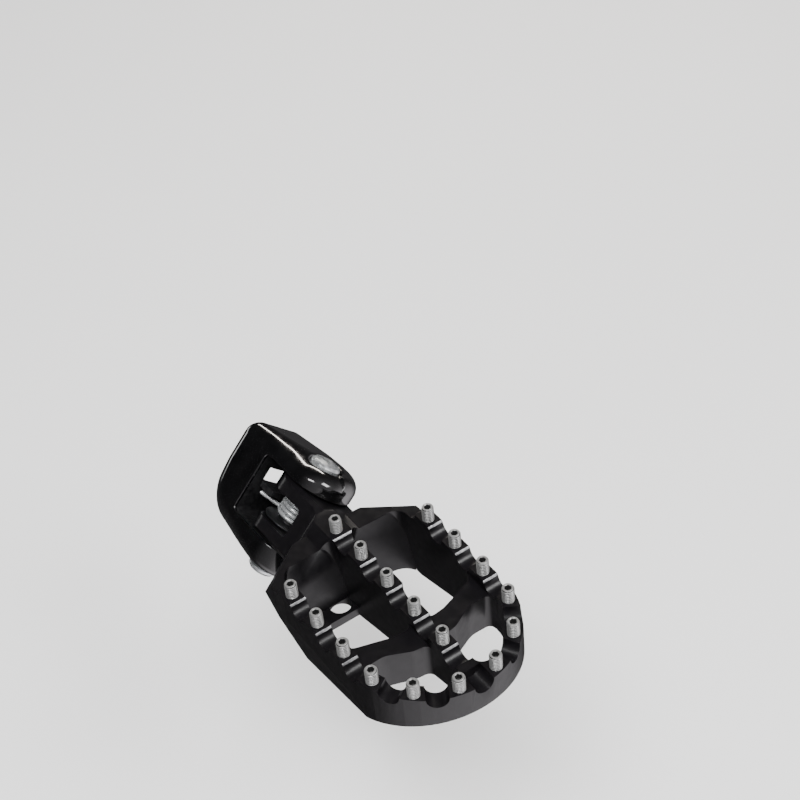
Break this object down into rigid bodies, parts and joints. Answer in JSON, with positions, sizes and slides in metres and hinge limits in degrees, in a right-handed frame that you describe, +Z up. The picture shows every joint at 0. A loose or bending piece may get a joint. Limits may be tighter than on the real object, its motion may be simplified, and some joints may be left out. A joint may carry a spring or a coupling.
{
  "type": "folding motorcycle foot peg",
  "caption": "Folding foot peg: an open studded platform on a sprung, tilted hinge pin in a cast clevis with a bolt-on mounting face.",
  "frame": {"origin": "middle of the clevis's inboard mounting face, level with the hinge pin", "axes": "+X outboard along the peg, +Y forward, +Z up; the hinge pin runs along (0, 0.707, 0.707) through (0.033, 0, 0)"},
  "size_m": [0.1403, 0.0578, 0.0421],
  "materials": {
    "anodised_aluminium": "satin black anodised, milled, bright thin edges",
    "gloss_black_casting": "deep gloss black over a smooth casting",
    "zinc_steel": "zinc plated, turned",
    "spring_wire": "bright drawn wire",
    "stud_steel": "matt light grey plating",
    "black_nylon": "smooth moulded"
  },
  "bodies": {
    "clevis": {"clevis": "gloss_black_casting", "pivot_pin": "zinc_steel", "pin_washer": "zinc_steel", "pivot_cap": "zinc_steel", "return_spring": "spring_wire", "spring_sleeve": "black_nylon"},
    "peg": {"platform": "anodised_aluminium", "stud_spine_1": "stud_steel", "stud_spine_2": "stud_steel", "stud_spine_3": "stud_steel", "stud_spine_4": "stud_steel", "stud_spine_5": "stud_steel", "stud_rear_1": "stud_steel", "stud_rear_2": "stud_steel", "stud_rear_3": "stud_steel", "stud_rear_4": "stud_steel", "stud_rear_5": "stud_steel", "stud_rear_6": "stud_steel", "stud_front_1": "stud_steel", "stud_front_2": "stud_steel", "stud_front_3": "stud_steel", "stud_front_4": "stud_steel", "stud_front_5": "stud_steel", "stud_front_6": "stud_steel"}
  },
  "joints": [
    {"name": "peg_fold", "type": "hinge", "parent": "clevis", "child": "peg", "pos_m": [0.033, 0, 0], "axis": [0, -0.7071, -0.7071], "range_deg": [0, 80], "stiffness_Nm_per_rad": 0.15, "springref_deg": -45.84, "deforming": ["return_spring"]}
  ]
}
